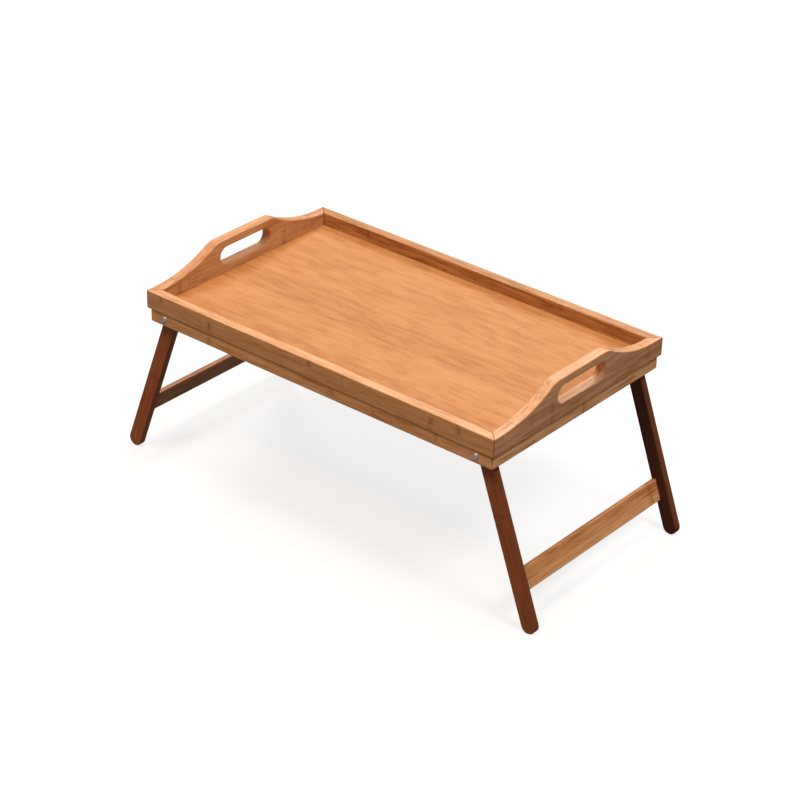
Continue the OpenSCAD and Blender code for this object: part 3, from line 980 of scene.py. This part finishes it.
class TRAYTABLE_OT_bolts(bpy.types.Operator):
    """Make the pivot bolts, with domed heads, hexagon sockets and threaded ends"""

    bl_idname = "traytable.bolts"
    bl_label = "Pivot Bolts"

    def execute(self, context):
        sizes, finishes = settings(context)
        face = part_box("back_apron")[1].y
        shank_r, flat = sizes.shank / 2, sizes.socket / 2
        socket_r = flat / cos(pi / 6)
        turns, thread_depth, tip_round = 14, 0.4 * MM, 0.4 * MM
        for name, end, side in each_pivot():
            head_r, inner, outer = span(f"{name}_bolt", side)
            head_h, tip = outer - face, inner - face
            # The box stops at the flats of the socket, so the dome is a little higher at its middle
            dome_r = (head_r**2 + head_h**2 - flat**2) / (2 * head_h)
            centre_z = head_h - sqrt(dome_r**2 - flat**2)
            lip_r, dome_end = socket_r + 0.25 * MM, head_r - 0.15 * MM
            radii = [lip_r + (dome_end - lip_r) * k / 10 for k in range(11)]
            profile = [(r, centre_z + sqrt(dome_r**2 - r**2)) for r in radii]
            lip_z = profile[0][1]
            profile += [(head_r, 0.12 * MM), (head_r - 0.12 * MM, 0), (shank_r, 0)]
            thread = tip + tip_round + turns * sizes.pitch
            profile += [(shank_r, thread + 0.3 * MM)]
            for k in range(turns):
                top = thread - k * sizes.pitch
                root = (shank_r - thread_depth, top - sizes.pitch / 2)
                profile += [(shank_r, top - 0.1 * MM), root]
            profile += [(shank_r, tip + tip_round), (shank_r - 0.5 * MM, tip), (0, tip)]
            bm = bmesh.new()
            lathe(bm, profile)
            rim = [e for e in bm.edges if e.is_boundary]
            socket = loop(bm, [(p.x, p.y, lip_z) for p in circle(socket_r, 6)])
            fill(bm, rim + socket)
            sink(bm, socket, Z * -sizes.socket_depth)
            at_pivot(bm, end, side, face)
            piece(bm, f"{name}_bolt", "steel", bright_plate(finishes))
        return {"FINISHED"}


class TRAYTABLE_OT_spacers_and_washers(bpy.types.Operator):
    """Make the nylon spacers between apron and leg, and the washers under the nuts"""

    bl_idname = "traytable.spacers_and_washers"
    bl_label = "Spacers and Washers"

    def execute(self, context):
        sizes, finishes = settings(context)
        bore = sizes.shank / 2 + sizes.bolt_play
        kinds = (
            ("spacer", 0.3 * MM, "nylon", natural_nylon(finishes)),
            ("washer", 0.12 * MM, "steel", zinc_plate(finishes)),
        )
        for name, end, side in each_pivot():
            for kind, chamfer, stuff, material in kinds:
                radius, near, far = span(f"{name}_{kind}", side)
                inner, outer = bore + chamfer, radius - chamfer
                tall = far - near
                section = [
                    (bore, chamfer), (bore, tall - chamfer), (inner, tall), (outer, tall),
                    (radius, tall - chamfer), (radius, chamfer), (outer, 0), (inner, 0),
                ]
                bm = bmesh.new()
                lathe(bm, section, closed=True, steps=64)
                at_pivot(bm, end, side, near)
                piece(bm, f"{name}_{kind}", stuff, material)
        return {"FINISHED"}


# How far down a lock nut's corners are cut on its flats, and the steel round its insert
CORNER_DROP = 0.1 * MM
COLLAR_WALL = 0.6 * MM


class TRAYTABLE_OT_lock_nuts(bpy.types.Operator):
    """Make the lock nuts: a chamfered hexagon, a round collar and a nylon insert"""

    bl_idname = "traytable.lock_nuts"
    bl_label = "Lock Nuts"

    def execute(self, context):
        sizes, finishes = settings(context)
        bore, flat, hexagon = sizes.shank / 2, sizes.nut_flats / 2, sizes.nut_hexagon
        for name, end, side in each_pivot():
            near, far = span(f"{name}_lock_nut", side)[1:]
            collar_h = far - near - hexagon
            bm = bmesh.new()
            hexagon_outline = circle(flat / cos(pi / 6), 6)
            plate(bm, [hexagon_outline, circle(bore, 48)], hexagon, 0.05 * MM)
            # Slanting cuts on both faces take the corners down
            for k in range(6):
                turn = Matrix.Rotation(pi / 3 * k, 3, "Z")
                for up, edge_z in ((-1, CORNER_DROP), (1, hexagon - CORNER_DROP)):
                    slant = turn @ Vector((0.5, 0, up * 0.866))
                    rim = slice_at(bm, turn @ Vector((flat, 0, edge_z)), slant, clear=True)
                    bmesh.ops.edgeloop_fill(bm, edges=[e for e in rim if e.is_boundary])
            bmesh.ops.translate(bm, verts=bm.verts, vec=Z * collar_h)
            collar_r = sizes.nut_collar / 2
            insert_r = collar_r - COLLAR_WALL
            collar = [
                (insert_r, 0.2 * MM), (insert_r, collar_h), (collar_r, collar_h),
                (collar_r, 0.5 * MM), (collar_r - 0.2 * MM, 0.1 * MM), (insert_r + 0.2 * MM, 0),
            ]
            lathe(bm, collar, closed=True)
            steel_faces = set(bm.faces)
            insert = [(bore, 0.35 * MM), (bore, collar_h), (insert_r, collar_h), (insert_r, 0.25 * MM)]
            lathe(bm, insert, closed=True)
            for f in bm.faces:
                f.material_index = 0 if f in steel_faces else 1
            at_pivot(bm, end, side, near)
            piece(bm, f"{name}_lock_nut", "steel", zinc_plate(finishes), natural_nylon(finishes))
        return {"FINISHED"}


class TRAYTABLE_OT_screws(bpy.types.Operator):
    """Make the screws that hold the tray on the under frame, with a cross recess in each head"""

    bl_idname = "traytable.screws"
    bl_label = "Under Frame Screws"

    def execute(self, context):
        sizes, finishes = settings(context)
        low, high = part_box("apron_screws")
        head_r, head_h, shank_r = sizes.screw_head / 2, sizes.screw_head_height, sizes.screw_shank / 2
        tall = high.z - low.z
        straight = tall - sizes.screw_point
        arm, wide, deep = 0.55 * head_r, 0.14 * head_r, 0.9 * MM
        root, pitch, plain = shank_r - 0.45 * MM, 1.2 * MM, head_h + 4 * MM
        turns = [radians(58 - 58 * k / 8) for k in range(9)]
        profile = [(head_r * cos(t), head_h * 0.75 * (1 - sin(t))) for t in turns]
        crown = profile[0][1]
        profile += [(head_r, head_h), (shank_r, head_h)]
        for k in range(int((straight - plain) / pitch)):
            at = plain + k * pitch
            profile += [(root, at), (root, at + 0.7 * MM), (shank_r, at + 0.95 * MM)]
        profile += [(root, straight), (0, tall)]
        arms = [Vector(p) for p in ((arm, -wide), (arm, wide), (wide, wide))]
        cross = [Matrix.Rotation(pi / 2 * k, 2) @ p for k in range(4) for p in arms]
        line_x, line_y = high.x - head_r, high.y - head_r
        places = [(x * sizes.rail_screws, y * line_y) for x in (-1, 0, 1) for y in (FRONT, BACK)]
        places += [(x * line_x, y * sizes.end_screws / 2) for x in (LEFT, RIGHT) for y in (-1, 1)]
        bm = bmesh.new()
        for x, y in places:
            old = set(bm.verts)
            lathe(bm, profile, steps=24)
            rim = [e for e in bm.edges if e.is_boundary]
            recess = loop(bm, [(p.x, p.y, crown) for p in cross])
            fill(bm, rim + recess)
            sink(bm, recess, Z * deep)
            new = [v for v in bm.verts if v not in old]
            bmesh.ops.translate(bm, verts=new, vec=Vector((x, y, low.z)))
        piece(bm, "apron_screws", "steel", zinc_plate(finishes))
        return {"FINISHED"}


class TRAYTABLE_OT_dowels(bpy.types.Operator):
    """Give the hidden dowels their beech"""

    bl_idname = "traytable.dowels"
    bl_label = "Dowels"

    def execute(self, context):
        tone = settings(context)[1].dowel
        f = Finish("beech_dowels")
        p = f.spot()
        fleck = f.noise(p, 700.0, detail=2.0)
        cloud = f.noise(p, 90.0, detail=2.0)
        dark, pale = tint(tone, (0.9, 0.88, 0.85)), tint(tone, (1.05, 1.05, 1.05))
        wood = f.mix(f.fade(cloud, 0.3, 0.7), dark, pale)
        f.set(
            Base_Color=f.mix(f.fade(fleck, 0.6, 0.72, 0.0, 0.4), wood, tint(tone, (0.6, 0.5, 0.42))),
            Roughness=f.fade(cloud, 0.3, 0.7, 0.5, 0.6),
            Normal=f.bump(0.2, 0.05 * MM, fleck),
        )
        for name, node in frame["nodes"].items():
            if name.endswith("dowels"):
                node.data.materials.clear()
                node.data.materials.append(f.material)
        return {"FINISHED"}


# Studio


# Each light's place, width and colour; all of them point at the middle of the tray
LIGHTS = {
    "key": (Vector((-2.6, 4.3, 5.1)), 2.2, (1.0, 1.0, 1.0)),
    "top": (Vector((-0.5, 0.2, 4.6)), 3.2, (1.0, 0.96, 0.92)),
    "front": (Vector((-0.3, -3.4, 6.0)), 2.1, (1.0, 0.64, 0.43)),
    "side": (Vector((3.7, -0.5, 6.0)), 2.1, (1.0, 0.94, 0.90)),
}
LIGHT_TARGET = Vector((0, 0, 0.2))
ROOM_TONE = (1.0, 0.86, 0.74, 1.0)
# The paper glows by this much, and takes this share of the light that falls on it
PAPER_GLOW, PAPER_SHARE = 0.85, 0.32
# The camera looks at the aim from an azimuth right of the front and an elevation, and leans by a roll
AZIMUTH, ELEVATION, ROLL = radians(39.449), radians(29.611), radians(1.261)
AIM, DISTANCE = Vector((0.18827, -0.22766, 0.28383)), 2.4817
SENSOR_WIDTH = 36.0


class TRAYTABLE_OT_studio(bpy.types.Operator):
    """Set up the pale floor, the soft light and the camera"""

    bl_idname = "traytable.studio"
    bl_label = "Studio"

    def execute(self, context):
        scene, studio = context.scene, context.scene.traytable_studio
        self.floor(studio)
        self.lights(scene, studio)
        self.camera(scene, studio)
        scene.view_settings.view_transform = "Standard"
        return {"FINISHED"}

    def floor(self, studio):
        """A wide sheet of pale paper."""
        f = Finish("pale_paper")
        f.set(
            Roughness=0.9,
            Specular_IOR_Level=0.0,
            Base_Color=tint(studio.paper, [PAPER_SHARE] * 3),
            Emission_Color=tint(studio.paper),
            Emission_Strength=PAPER_GLOW,
        )
        bm = bmesh.new()
        bmesh.ops.create_grid(bm, x_segments=1, y_segments=1, size=6.0)
        floor = to_object(bm, "pale_floor", [f.material])
        # The paper is seen but throws little light up under the table
        floor.visible_diffuse = False
        floor.visible_glossy = False

    def lights(self, scene, studio):
        """Four round soft lights, and faint light from all round."""
        for name, (at, size, tone) in LIGHTS.items():
            light = bpy.data.lights.new(f"{name}_light", "AREA")
            light.shape = "DISK"
            light.size = size
            light.energy = getattr(studio, f"{name}_power")
            light.color = tone
            lamp = bpy.data.objects.new(light.name, light)
            lamp.location = at
            lamp.rotation_euler = (LIGHT_TARGET - at).to_track_quat("-Z", "Y").to_euler()
            scene.collection.objects.link(lamp)
        world = bpy.data.worlds.new("room_light")
        world.use_nodes = True
        background = world.node_tree.nodes["Background"]
        background.inputs["Color"].default_value = ROOM_TONE
        background.inputs["Strength"].default_value = studio.room_light
        scene.world = world

    def camera(self, scene, studio):
        """The camera at the view's own angle."""
        camera = bpy.data.objects.new("camera", bpy.data.cameras.new("camera"))
        right = Vector((cos(AZIMUTH), sin(AZIMUTH), 0))
        back = right.cross(Z) * cos(ELEVATION) + Z * sin(ELEVATION)
        lean = Matrix.Rotation(ROLL, 3, back)
        camera.matrix_world = place(AIM + back * DISTANCE, lean @ right, lean @ back.cross(right))
        camera.data.sensor_width = SENSOR_WIDTH
        camera.data.lens = studio.focal_length
        camera.data.clip_start, camera.data.clip_end = 0.05, 20.0
        scene.collection.objects.link(camera)
        scene.camera = camera


OPERATORS = (
    TRAYTABLE_OT_floor_panel,
    TRAYTABLE_OT_rails,
    TRAYTABLE_OT_handle_ends,
    TRAYTABLE_OT_aprons,
    TRAYTABLE_OT_legs,
    TRAYTABLE_OT_stretchers,
    TRAYTABLE_OT_bolts,
    TRAYTABLE_OT_spacers_and_washers,
    TRAYTABLE_OT_lock_nuts,
    TRAYTABLE_OT_screws,
    TRAYTABLE_OT_dowels,
    TRAYTABLE_OT_studio,
)
GROUPS = {
    "traytable_sizes": TrayTableSizes,
    "traytable_finishes": TrayTableFinishes,
    "traytable_studio": TrayTableStudio,
}


class TRAYTABLE_PT_panel(bpy.types.Panel):
    """Lists the table's settings and the operators that build it"""

    bl_idname = "TRAYTABLE_PT_panel"
    bl_label = "Tray Table"
    bl_space_type = "VIEW_3D"
    bl_region_type = "UI"
    bl_category = "Tray Table"

    def draw(self, context):
        for group, kind in GROUPS.items():
            box = self.layout.box()
            for name in kind.__annotations__:
                box.prop(getattr(context.scene, group), name)
        for operator in OPERATORS:
            self.layout.operator(operator.bl_idname)


def register():
    """Registers the classes and hangs the settings on the scene."""
    for kind in (*GROUPS.values(), *OPERATORS, TRAYTABLE_PT_panel):
        bpy.utils.register_class(kind)
    for name, kind in GROUPS.items():
        setattr(bpy.types.Scene, name, PointerProperty(type=kind))


def unregister():
    """Takes the settings and the classes away again."""
    for name in GROUPS:
        delattr(bpy.types.Scene, name)
    for kind in (TRAYTABLE_PT_panel, *reversed(OPERATORS), *GROUPS.values()):
        bpy.utils.unregister_class(kind)


def main():
    """Builds the table and its studio."""
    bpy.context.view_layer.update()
    register()
    for operator in OPERATORS:
        group, name = operator.bl_idname.split(".")
        getattr(getattr(bpy.ops, group), name)()


if __name__ == "__main__":
    main()
